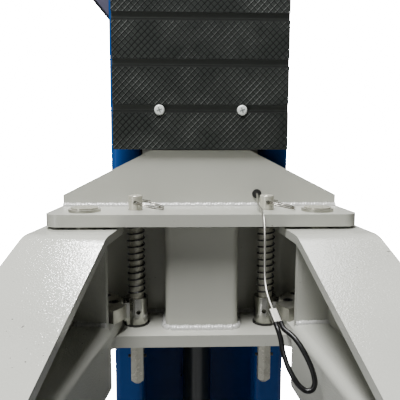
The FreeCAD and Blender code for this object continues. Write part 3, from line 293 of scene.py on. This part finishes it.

# %% [markdown]
# The door bumper is moulded rubber with a diamond tread: two sets of thin slanted grooves
# that cross. Each set is a saw tooth made from the distance along one diagonal, folded so
# that it is low only in a narrow line. One set is cut deeper than the other. The grooves are
# painted darker than the rubber, as painted shade in them. A second line just beside each
# groove is a painted highlight, the glint along the groove's edge. It is clear beside the deep
# grooves and faint beside the others, and a noise lets it come and go. The bands between the
# panels stay smooth, so the pattern is switched off there by the height within each panel.
# The bands are painted lighter than the rubber, as painted light where the panel above shades
# them. A dark ledge at the foot of each band stands for the shadow under the panel's edge.

# %% Group: diamond tread
DUSTY_TOP = (0.040, 0.045, 0.040, 1.0)
# Tone of the painted highlight, the glint beside each groove
GLINT_TONE = (0.19, 0.20, 0.19, 1.0)
# The bands' tone, lighter than the rubber as painted light
BAND_LIT_TONE = (0.066, 0.072, 0.066, 1.0)
SLANT = math.radians(46)
GLINT_SHIFT = 0.18
LINE_OUTSIDE, LINE_CORE = 0.38, 0.445
DEEP_SET = (-SLANT, 0.0, 0.0)
SHALLOW_SET = (SLANT, 0.35, 0.8)
BAND_HEIGHT = 0.8
# How much darker the grooves are painted, as painted shade in them
GROOVE_SHADE = 0.9
LEDGE_DARK = 0.85
GLINT_WEIGHT = 0.75
DUST_WEIGHT = 0.5
RUBBER_ROUGHNESS = 0.5
DUST_ROUGHNESS = 0.2
graph, given, result = new_group(
    "diamond tread",
    {
        "Place": (0.0, 0.0, 0.0),
        "Foot": 1.09,
        "Row": 0.0705,
        "Band": 0.013,
        "Ledge": 0.004,
        "Pitch": 0.0074,
        "Rubber": (0.03, 0.03, 0.03, 1.0),
    },
    {"Color": "Color", "Roughness": "Float", "Height": "Float"},
)
axes = graph.add("SeparateXYZ", {"Vector": given["Place"]}).outputs
in_row = graph.math("MODULO", graph.math("SUBTRACT", axes["Z"], given["Foot"]), given["Row"])
panel = graph.math("LESS_THAN", in_row, graph.math("SUBTRACT", given["Row"], given["Band"]))
grooves, edges = [], []
for lean, shallow, faint in (SHALLOW_SET, DEEP_SET):
    along_x = graph.math("MULTIPLY", axes["X"], math.sin(lean))
    along_z = graph.math("MULTIPLY", axes["Z"], math.cos(lean))
    across = graph.math("DIVIDE", graph.math("ADD", along_x, along_z), given["Pitch"])
    for shift, lines, least in ((0.0, grooves, shallow), (GLINT_SHIFT, edges, faint)):
        turns = graph.math("FRACT", graph.math("SUBTRACT", across, shift))
        fold = graph.math("ABSOLUTE", graph.math("SUBTRACT", turns, 0.5))
        lines.append(graph.math("MAXIMUM", graph.band(fold, LINE_CORE, LINE_OUTSIDE), least))
tread = graph.math("MULTIPLY", graph.math("MINIMUM", *grooves), panel)
flat = graph.math("SUBTRACT", 1.0, panel)
relief = graph.math("ADD", tread, graph.math("MULTIPLY", flat, BAND_HEIGHT))
dust = graph.band(graph.noise(given["Place"], 14.0, 3.0), 0.35, 0.75)
top_tone = graph.blend(graph.math("MULTIPLY", dust, DUST_WEIGHT), given["Rubber"], DUSTY_TOP)
# Painted shade: the grooves take a tone much darker than the rubber
groove_shade_tone = graph.blend(GROOVE_SHADE, given["Rubber"], BLACK)
toned = graph.blend(relief, groove_shade_tone, top_tone)
# Painted highlight: a light line beside each groove, coming and going with a noise
glint_patches = graph.band(graph.noise(given["Place"], 18.0, 3.0), 0.4, 0.68)
painted_glint = graph.math("SUBTRACT", 1.0, graph.math("MINIMUM", *edges))
painted_glint = graph.math("MULTIPLY", graph.math("MULTIPLY", painted_glint, glint_patches), tread)
toned = graph.blend(graph.math("MULTIPLY", painted_glint, GLINT_WEIGHT), toned, GLINT_TONE)
# Painted light: the smooth bands are painted lighter where the panel above shades them
toned = graph.blend(flat, toned, BAND_LIT_TONE)
above = graph.math("SUBTRACT", in_row, graph.math("SUBTRACT", given["Row"], given["Band"]))
ledge = graph.math("MULTIPLY", graph.math("LESS_THAN", above, given["Ledge"]), flat)
toned = graph.blend(graph.math("MULTIPLY", ledge, LEDGE_DARK), toned, BLACK)
graph.tree.links.new(toned, result["Color"])
dusted = graph.math("MULTIPLY", dust, DUST_ROUGHNESS)
soft = graph.math("ADD", graph.math("ADD", RUBBER_ROUGHNESS, dusted), ledge)
graph.tree.links.new(soft, result["Roughness"])
graph.tree.links.new(relief, result["Height"])
print("diamond tread has", len(graph.tree.nodes), "nodes")

# %% [markdown]
# A material takes one group, gives it its own values and feeds the Principled shader.
# Values that are the same all over, such as the metal or coat settings, go straight on
# the shader's own sockets.

# %% Materials


def material(name, group_name, values, bump=0.1, reach=0.2 * MM, **shader_values):
    """A Principled material whose colour, roughness and bump come from one group."""
    made = bpy.data.materials.new(name)
    made.use_nodes = True
    tree = Graph(made.node_tree)
    shader = made.node_tree.nodes["Principled BSDF"]
    for label, setting in shader_values.items():
        shader.inputs[label.replace("_", " ")].default_value = setting
    spot = tree.add("TexCoord").outputs["Object"]
    group = tree.add("Group", node_tree=bpy.data.node_groups[group_name])
    made.node_tree.links.new(spot, group.inputs["Place"])
    for label, setting in values.items():
        group.inputs[label].default_value = setting
    made.node_tree.links.new(group.outputs["Color"], shader.inputs["Base Color"])
    made.node_tree.links.new(group.outputs["Roughness"], shader.inputs["Roughness"])
    settings = {"Height": group.outputs["Height"], "Strength": bump, "Distance": reach}
    bumped = tree.add("Bump", settings)
    made.node_tree.links.new(bumped.outputs["Normal"], shader.inputs["Normal"])
    return made


def paint(name, colour, chip, chips, scuffs, gloss, coat=0.4, peel=420.0, bump=0.25, shine=0.5):
    values = {
        "Peel Size": peel,
        "Paint": (*colour, 1.0),
        "Chip": (*chip, 1.0),
        "Chip Amount": chips,
        "Scuff Amount": scuffs,
        "Gloss": gloss,
    }
    return material(
        name,
        "sprayed paint",
        values,
        bump,
        reach=0.4 * MM,
        Coat_Weight=coat,
        Coat_Roughness=0.12,
        Specular_IOR_Level=shine,
    )


def metal(name, colour, stain, amount, polish, metallic=1.0):
    values = {
        "Metal": (*colour, 1.0),
        "Stain": (*stain, 1.0),
        "Stain Amount": amount,
        "Polish": polish,
    }
    return material(name, "worked metal", values, bump=0.15, Metallic=metallic)


def plain_rubber(name, colour, gloss, shine=0.5):
    values = {
        "Paint": (*colour, 1.0),
        "Chip": (0.08, 0.08, 0.08, 1.0),
        "Chip Amount": 0.1,
        "Scuff Amount": 0.08,
        "Gloss": gloss,
    }
    return material(name, "sprayed paint", values, bump=0.3, Specular_IOR_Level=shine)


PRIMER = (0.10, 0.09, 0.08)
LIGHT_GREY = (0.49, 0.495, 0.445)
CARRIAGE_GREY = (0.475, 0.478, 0.425)
# paint: name, colour, chip colour, chips, scuffs, gloss
# metal: name, colour, stain colour, amount of stain, polish, metallic
finishes = {
    "column_paint": paint(
        "column blue", (0.004, 0.062, 0.27), (0.25, 0.27, 0.3), 0.2, 0.05, 0.35, coat=0.0, shine=0.2
    ),
    "cover_paint": paint("cover grey blue", (0.075, 0.072, 0.11), PRIMER, 0.1, 0.1, 0.4),
    # The cylinder paint is near black: partly the cylinder's own dark grey, partly painted shade
    # deep in the column
    "cylinder_paint": paint("cylinder grey with painted shade", (0.035, 0.042, 0.042), PRIMER, 0.3, 0.1, 0.35),
    # The weld paint is lighter than the grey around it: the lighter tone is painted sheen on the
    # beads
    "weld_paint": paint("weld paint with painted sheen", (0.55, 0.55, 0.53), PRIMER, 0.3, 0.0, 0.16, coat=0.8),
    "carriage_paint": paint("carriage grey", CARRIAGE_GREY, PRIMER, 0.45, 0.12, 0.32),
    "arm_paint": paint(
        "arm grey", LIGHT_GREY, PRIMER, 0.5, 0.2, 0.12, coat=0.0, peel=430.0, bump=0.9
    ),
    "pad_rubber": plain_rubber("pad rubber", (0.025, 0.025, 0.026), 0.6),
    "grommet_rubber": plain_rubber("grommet rubber", (0.012, 0.012, 0.012), 0.5),
    "slide_plastic": plain_rubber("slide plastic", (0.03, 0.03, 0.03), 0.4),
    "loop_sleeve": plain_rubber("loop sleeve", (0.006, 0.006, 0.006), 0.28, shine=0.3),
    "bright_steel": metal("turned steel", (0.62, 0.61, 0.52), (0.24, 0.23, 0.19), 0.4, 0.18, 0.6),
    "pin_steel": metal("milled pin", (0.60, 0.59, 0.50), (0.33, 0.31, 0.26), 0.5, 0.2, 0.3),
    "collar_steel": metal("turned collar", (0.46, 0.46, 0.42), (0.18, 0.18, 0.16), 0.4, 0.15),
    "zinc_steel": metal("zinc plate", (0.50, 0.495, 0.44), (0.26, 0.25, 0.21), 0.5, 0.36),
    "dark_steel": metal("oiled spring steel", (0.09, 0.09, 0.09), (0.02, 0.02, 0.02), 0.4, 0.3),
    "screw_zinc": metal("screw zinc", (0.86, 0.90, 0.86), (0.6, 0.62, 0.6), 0.2, 0.42, 0.2),
    "recess_painted_shade": metal("recess painted shade", (0.30, 0.33, 0.31), (0.2, 0.2, 0.2), 0.3, 0.5, 0.2),
    "ring_wire": metal("ring wire", (0.36, 0.34, 0.30), (0.10, 0.09, 0.08), 0.5, 0.2),
    "cable_wire": metal("wire rope", (0.62, 0.61, 0.56), (0.3, 0.3, 0.27), 0.4, 0.35),
    "crimp_metal": metal("pressed crimp", (0.44, 0.44, 0.40), (0.25, 0.24, 0.22), 0.5, 0.3),
}
bumper_low, bumper_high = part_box("door_bumper")
BUMPER_ROWS = 7
ROW_HEIGHT = (bumper_high[2] - bumper_low[2]) / BUMPER_ROWS
finishes["bumper_rubber"] = material(
    "tread rubber",
    "diamond tread",
    {"Foot": bumper_low[2], "Row": ROW_HEIGHT, "Rubber": (0.021, 0.024, 0.022, 1.0)},
    bump=0.8,
    reach=1.2 * MM,
    Specular_IOR_Level=0.1,
)
OWN_LOOKS = {"restraint_collar": "collar_steel", "restraint_pin": "pin_steel"}
for entry in frame["record"]["subparts"]:
    node = nodes[entry["node"]]
    if node.type == "MESH":
        kind = entry["node"].removesuffix("_left").removesuffix("_right")
        node.data.materials.clear()
        node.data.materials.append(finishes[OWN_LOOKS.get(kind, entry["material_slot"])])
cable.data.materials.append(finishes["cable_wire"])
print("finishes:", len(finishes), "- bumper rows of", round(ROW_HEIGHT * 1000, 1), "mm")

# %% [markdown]
# New pieces are made in bmesh, then kept as plain meshes at the origin.
# This helper wraps the last steps that each of them needs.

# %% Keep a piece


def keep_piece(name, mesh, body, slot, look=None, smooth=True):
    """Turns a bmesh into an object on a body, with its slot's finish or a look of its own."""
    bmesh.ops.recalc_face_normals(mesh, faces=mesh.faces[:])
    data = bpy.data.meshes.new(name)
    mesh.to_mesh(data)
    mesh.free()
    for face in data.polygons:
        face.use_smooth = smooth
    data.materials.append(finishes[look or slot])
    piece = bpy.data.objects.new(name, data)
    bpy.context.collection.objects.link(piece)
    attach(piece, body)
    return piece


# %% [markdown]
# A weld bead is a string of small overlapping ripples, as the welder stops and moves on.
# The bead here starts as one small ring. Extruding the ring again and again along the
# joint leaves the ripples: its width follows a fast wave for the ripples and a slow one
# for the welder's unsteady hand.

# %% Weld beads
RIPPLE_STEP = 1.6 * MM
RING_SIDES = 10
RIPPLE, RIPPLE_PACE = 0.11, 2.1
SWELL, SWELL_PACE = 0.09, 0.57


def sweep_bead(mesh, start, end, radius):
    """Adds one rippled bead from start to end, both in metres."""
    start, end = Vector(start), Vector(end)
    run = end - start
    steps = max(4, round(run.length / RIPPLE_STEP))
    turn = run.to_track_quat("Z", "Y").to_matrix().to_4x4()
    ring = bmesh.ops.create_circle(
        mesh,
        cap_ends=True,
        segments=RING_SIDES,
        radius=radius,
        matrix=Matrix.Translation(start) @ turn,
    )["verts"]
    edges = list({edge for vert in ring for edge in vert.link_edges if len(edge.link_faces) == 1})
    spot, size = start, 1.0
    for number in range(steps):
        made = bmesh.ops.extrude_edge_only(mesh, edges=edges)["geom"]
        ring = [item for item in made if isinstance(item, bmesh.types.BMVert)]
        edges = [item for item in made if isinstance(item, bmesh.types.BMEdge)]
        bmesh.ops.translate(mesh, verts=ring, vec=run / steps)
        spot = spot + run / steps
        ripple = RIPPLE * math.sin(RIPPLE_PACE * number)
        wanted = 1 + ripple + SWELL * math.sin(SWELL_PACE * number)
        bmesh.ops.scale(
            mesh, verts=ring, vec=[wanted / size] * 3, space=Matrix.Translation(-spot)
        )
        size = wanted
    bmesh.ops.contextual_create(mesh, geom=edges)


def bead_piece(name, body, lines, radius, slot="carriage_paint"):
    mesh = bmesh.new()
    for start, end in lines:
        sweep_bead(mesh, start, end, radius)
    # Beads take the weld paint, lightened as painted sheen
    return keep_piece(name, mesh, body, slot, "weld_paint")


HEADINGS = {
    joint["child"].removeprefix("extension_"): joint["axis"]
    for joint in frame["record"]["behaviour"]["joints"]
    if joint["name"].startswith("arm_extend")
}
gusset_low, gusset_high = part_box("gusset_plate")
plate_low, plate_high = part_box("hinge_plate_top")
lower_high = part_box("hinge_plate_bottom")[1]
spacer_low, spacer_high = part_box("spacer_box")
web_low, web_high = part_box("carriage_web")
BEAD = 5.2 * MM
SPACER_BEAD = BEAD * 1.2
CORNER = 8 * MM
front = gusset_low[1]
bead_piece(
    "gusset_weld",
    "carriage",
    [((gusset_low[0], front, plate_high[2]), (gusset_high[0], front, plate_high[2]))],
    BEAD,
)
spacer_lines = []
left, right, face = spacer_low[0], spacer_high[0], spacer_low[1]
back = web_low[1]
for level in (lower_high[2], plate_low[2]):
    spacer_lines += [
        ((left + CORNER, face, level), (right - CORNER, face, level)),
        ((left, back, level), (left, face + CORNER, level)),
        ((right, back, level), (right, face + CORNER, level)),
        ((left, face + CORNER, level), (left + CORNER, face, level)),
        ((right, face + CORNER, level), (right - CORNER, face, level)),
    ]
bead_piece("spacer_weld", "carriage", spacer_lines, SPACER_BEAD)
web_lines = [
    ((web_low[0], web_low[1], level), (web_high[0], web_low[1], level))
    for level in (lower_high[2], plate_low[2])
]
bead_piece("web_weld", "carriage", web_lines, BEAD)

# Each arm has an end wall between its tube and its top plate, with a bead along the
# wall's foot and one along its head
UP = Vector((0, 0, 1))
WALL_FRONT = 72 * MM
WALL_HALF = 52 * MM
WALL_HEAD = 966 * MM
TUBE_TOP = 849 * MM
FOOT_BEAD = 4.5 * MM
HEAD_BEAD = 3 * MM
for joint in frame["record"]["behaviour"]["joints"]:
    if not joint["name"].startswith("arm_swing"):
        continue
    arm = joint["child"]
    heading = Vector(HEADINGS[arm.removeprefix("arm_")])
    sideways = heading.cross(UP)
    middle = Vector((joint["pos_m"][0], joint["pos_m"][1], 0)) + heading * WALL_FRONT
    ends = [middle + sideways * (sign * WALL_HALF) for sign in (-1, 1)]
    for place, level, radius in (("foot", TUBE_TOP, FOOT_BEAD), ("head", WALL_HEAD, HEAD_BEAD)):
        line = [tuple(end + UP * level for end in ends)]
        bead_piece(f"{arm}_wall_{place}_weld", arm, line, radius, "arm_paint")
print("weld beads with ripples", round(RIPPLE_STEP * 1000, 1), "mm apart")

# %% [markdown]
# The bumper is held by pan head screws with a cross recess.
# A head is a short cone whose rim is bevelled round, on a neck that reaches into the
# groove. The real recess is cut in. Here two thin dark blocks cross on the head, half
# sunk in its face, as painted shade for the hollow recess, because a head is so small that they
# look the same.

# %% Bumper screws
SCREW_RADIUS = 8.3 * MM
SCREW_HEIGHT = 3.4 * MM
SCREW_SPREAD = 65.5 * MM
CROSS_LENGTH = 8.6 * MM
CROSS_WIDTH = 1.9 * MM
BAND_MIDDLE = 8.5 * MM
GROOVE_DEPTH = 4 * MM
HEAD_SEAT = 0.3 * MM
NECK_RADIUS = 5 * MM
RIM_ROUND = 1.4 * MM
RECESS_THICK = 0.5 * MM
RECESS_TURN = 20
SCREW_ROWS = (0, 3, 5)


def pan_head(mesh, spot):
    """Adds a pan head that faces -Y, with its foot at the spot and a neck into the groove."""
    aim_out = Matrix.Translation(spot) @ Matrix.Rotation(math.pi / 2, 4, "X")
    neck_length = GROOVE_DEPTH - HEAD_SEAT
    bmesh.ops.create_cone(
        mesh,
        cap_ends=True,
        segments=16,
        radius1=NECK_RADIUS,
        radius2=NECK_RADIUS,
        depth=neck_length,
        matrix=aim_out @ Matrix.Translation((0, 0, -neck_length / 2)),
    )
    head = bmesh.ops.create_cone(
        mesh,
        cap_ends=True,
        segments=28,
        radius1=SCREW_RADIUS,
        radius2=SCREW_RADIUS * 0.9,
        depth=SCREW_HEIGHT,
        matrix=aim_out @ Matrix.Translation((0, 0, SCREW_HEIGHT / 2)),
    )["verts"]
    top = spot[1] - SCREW_HEIGHT
    rim = {
        edge
        for vert in head
        for edge in vert.link_edges
        if all(abs(end.co.y - top) < 1e-6 for end in edge.verts)
    }
    bmesh.ops.bevel(
        mesh,
        geom=list(rim),
        offset=RIM_ROUND,
        segments=4,
        profile=0.5,
        affect="EDGES",
        material=-1,
    )


def recess_shade_cross(mesh, spot):
    """Adds the dark cross, painted shade for the recess, half sunk in the head's face."""
    for turn in (math.radians(RECESS_TURN), math.radians(RECESS_TURN + 90)):
        size = Matrix.Diagonal((CROSS_LENGTH, CROSS_WIDTH, RECESS_THICK, 1))
        place = Matrix.Translation(spot) @ Matrix.Rotation(math.pi / 2, 4, "X")
        bmesh.ops.create_cube(mesh, size=1, matrix=place @ Matrix.Rotation(turn, 4, "Z") @ size)


heads, recess_shade_mesh = bmesh.new(), bmesh.new()
for row in SCREW_ROWS:
    height = bumper_low[2] + (row + 1) * ROW_HEIGHT - BAND_MIDDLE
    for side in (-1, 1):
        seat = Vector((side * SCREW_SPREAD, bumper_low[1] + HEAD_SEAT, height))
        pan_head(heads, seat)
        recess_shade_cross(recess_shade_mesh, seat - Vector((0, SCREW_HEIGHT, 0)))
keep_piece("bumper_screws", heads, "carriage", "zinc_steel", "screw_zinc")
# The dark crosses are painted shade for the screws' recesses
keep_piece("recess_shade_crosses", recess_shade_mesh, "carriage", "dark_steel", "recess_painted_shade", smooth=False)
print("screws with heads of", round(SCREW_RADIUS * 2000, 1), "mm")

# %% [markdown]
# Each restraint is pushed down by a coil spring, and the spring shortens when the pin is
# lifted. One ring of vertices spun with a step along the axis makes the coil, because
# spin also takes a distance to move at each step.

# %% Restraint springs
WIRE_RADIUS = 1.3 * MM
COIL_RADIUS = 12.8 * MM
COIL_PITCH = 10.3 * MM
STEPS_PER_TURN = 28
END_ROOM = 1.1


def coil(mesh, axis_spot, low, high):
    """Adds a coil about an upright axis between two heights."""
    foot = low + END_ROOM * WIRE_RADIUS
    rise = high - low - 2 * END_ROOM * WIRE_RADIUS
    turns = rise / COIL_PITCH
    steps = round(turns * STEPS_PER_TURN)
    centre = Vector((axis_spot[0], axis_spot[1], foot))
    ring = bmesh.ops.create_circle(
        mesh,
        cap_ends=True,
        segments=10,
        radius=WIRE_RADIUS,
        matrix=Matrix.Translation(centre + Vector((COIL_RADIUS, 0, 0)))
        @ Matrix.Rotation(math.pi / 2, 4, "X"),
    )["verts"]
    edges = list({edge for vert in ring for edge in vert.link_edges})
    bmesh.ops.spin(
        mesh,
        geom=ring + edges,
        cent=centre,
        axis=(0, 0, 1),
        dvec=(0, 0, rise / steps),
        angle=math.tau * turns,
        steps=steps,
        use_duplicate=False,
    )


for side in ("left", "right"):
    low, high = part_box(f"restraint_spring_{side}")
    mesh = bmesh.new()
    coil(mesh, ((low[0] + high[0]) / 2, (low[1] + high[1]) / 2), low[2], high[2])
    spring = keep_piece(f"spring_coil_{side}", mesh, "carriage", "dark_steel")
    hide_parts(f"restraint_spring_{side}")
    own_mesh(spring)
    print("spring", side, "has", round((high[2] - low[2]) / COIL_PITCH, 1), "turns")

# %% [markdown]
# The pull rings are split rings, two turns of thin wire that lie on each other.
# They take their place and their tilt from the plain ring of the model, and the same spin
# that made the springs makes them, twice around. The turns lie loose, so that both can be
# told apart, and begin at the back, away from the pin's hole and from the plate.

# %% Pull rings
RING_RADIUS = 23 * MM
RING_WIRE = 1.6 * MM
SPLIT_WIRE = 0.85 * MM
SPLIT_PITCH = 2.4 * MM
SPLIT_LIFT = 0.7 * MM
SPLIT_STEPS = 96
for side in ("left", "right"):
    low, high = (Vector(corner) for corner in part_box(f"pull_ring_{side}"))
    tilt = math.asin(((high.z - low.z) / 2 - RING_WIRE) / RING_RADIUS)
    place = Matrix.Translation((low + high) / 2) @ Matrix.Rotation(tilt, 4, "Y")
    mesh = bmesh.new()
    first = Vector((0, RING_RADIUS, SPLIT_LIFT - SPLIT_PITCH))
    start = Matrix.Translation(first) @ Matrix.Rotation(math.pi / 2, 4, "Y")
    bmesh.ops.create_circle(mesh, cap_ends=True, segments=8, radius=SPLIT_WIRE, matrix=start)
    bmesh.ops.spin(
        mesh,
        geom=mesh.verts[:] + mesh.edges[:],
        cent=(0, 0, 0),
        axis=(0, 0, 1),
        dvec=(0, 0, 2 * SPLIT_PITCH / SPLIT_STEPS),
        angle=-2 * math.tau,
        steps=SPLIT_STEPS,
        use_duplicate=False,
    )
    bmesh.ops.transform(mesh, matrix=place, verts=mesh.verts[:])
    body = f"restraint_{side}"
    split_ring = keep_piece(f"split_ring_{side}", mesh, body, "zinc_steel", "ring_wire")
    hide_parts(f"pull_ring_{side}")
print("split rings tilted by", round(math.degrees(tilt), 1), "degrees")

# %% [markdown]
# A grey floor and soft light from two large panels keep the shadows gentle. A small lamp
# behind draws the shine on the left arm, and a narrow upright strip in front draws a thin
# line of light down each turned pin and collar.
# The world is bright only to the camera, which gives the plain background. To the part it
# is dim, so that the insides stay dark.

# %% Floor and light
floor_mesh = bmesh.new()
FLOOR_PLACE = Matrix.Translation((0, -1.9, 0)) @ Matrix.Diagonal((3.0, 2.9, 1, 1))
bmesh.ops.create_grid(floor_mesh, x_segments=1, y_segments=1, size=1, matrix=FLOOR_PLACE)
floor_data = bpy.data.meshes.new("floor")
floor_mesh.to_mesh(floor_data)
floor_mesh.free()
floor = bpy.data.objects.new("floor", floor_data)
bpy.context.collection.objects.link(floor)
floor_material = bpy.data.materials.new("grey floor")
floor_material.use_nodes = True
floor_shader = floor_material.node_tree.nodes["Principled BSDF"]
floor_shader.inputs["Base Color"].default_value = (0.35, 0.35, 0.35, 1)
floor_shader.inputs["Roughness"].default_value = 0.9
floor_data.materials.append(floor_material)

BACKDROP_GLOW = 30.0
SKY_GLOW = 0.015
world = bpy.data.worlds.new("studio")
world.use_nodes = True
sky = Graph(world.node_tree)
seen = sky.add("LightPath").outputs["Is Camera Ray"]
glow = sky.math("ADD", SKY_GLOW, sky.math("MULTIPLY", seen, BACKDROP_GLOW - SKY_GLOW))
world.node_tree.links.new(glow, world.node_tree.nodes["Background"].inputs["Strength"])
world.node_tree.nodes["Background"].inputs["Color"].default_value = (1, 1, 1, 1)
bpy.context.scene.world = world


def panel_light(name, place, target, size, power, height=None):
    """A soft panel that faces its target, square unless it is given a height."""
    data = bpy.data.lights.new(name, "AREA")
    data.shape = "RECTANGLE"
    data.size = size
    data.size_y = height or size
    data.energy = power
    lamp = bpy.data.objects.new(name, data)
    facing = (Vector(target) - Vector(place)).to_track_quat("-Z", "Y").to_matrix().to_4x4()
    lamp.matrix_world = Matrix.Translation(place) @ facing
    bpy.context.collection.objects.link(lamp)


ARMS = (0, -0.2, 0.95)
panel_light("top_panel", (-0.45, -0.83, 3.4), ARMS, 1.0, 165)
panel_light("rear_panel", (0.35, 0.95, 2.9), ARMS, 1.0, 55)
panel_light("rear_lamp", (-0.5, 0.85, 2.5), (-0.2, -0.28, 0.92), 0.2, 32)
panel_light("strip", (-0.95, -1.0, 0.95), (0, -0.2, 0.85), 0.12, 4, height=1.2)
print("lights are set")
